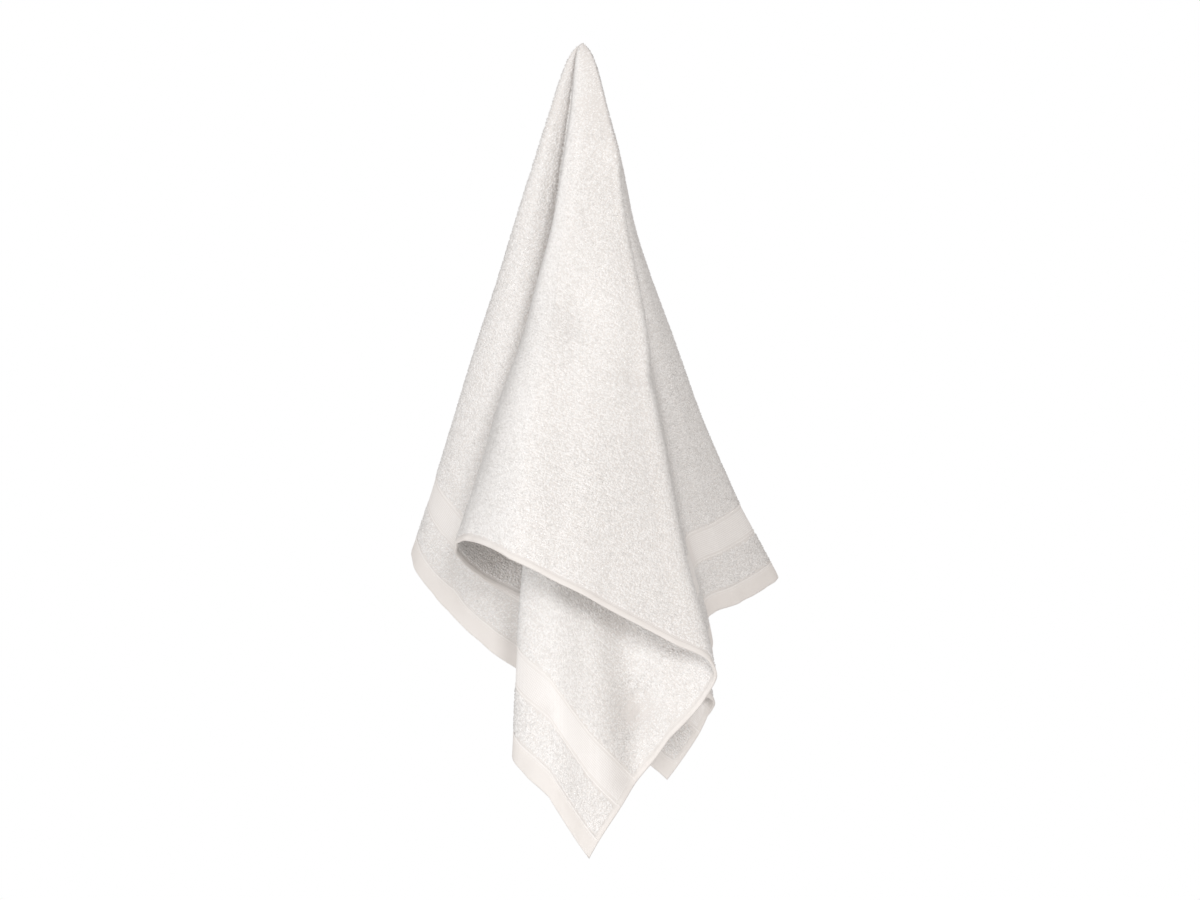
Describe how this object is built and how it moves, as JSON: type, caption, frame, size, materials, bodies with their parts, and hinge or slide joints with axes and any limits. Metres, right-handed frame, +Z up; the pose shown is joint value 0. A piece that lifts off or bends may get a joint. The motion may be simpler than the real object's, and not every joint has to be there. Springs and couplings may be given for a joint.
{
  "type": "hanging hand towel",
  "caption": "White terry hand towel hung from one point, falling into soft cone-shaped folds with hemmed ends and a woven border band.",
  "frame": {"origin": "the point that the towel hangs from, in the middle of the cloth", "axes": "+Z up along plumb, +X to the right seen from the front, -Y to the front"},
  "size_m": [0.3298, 0.3317, 0.6682],
  "materials": {
    "terry": "off-white looped cotton, flat-woven hems, border bands and selvedges"
  },
  "bodies": {
    "root": {"towel": "terry"}
  },
  "joints": []
}
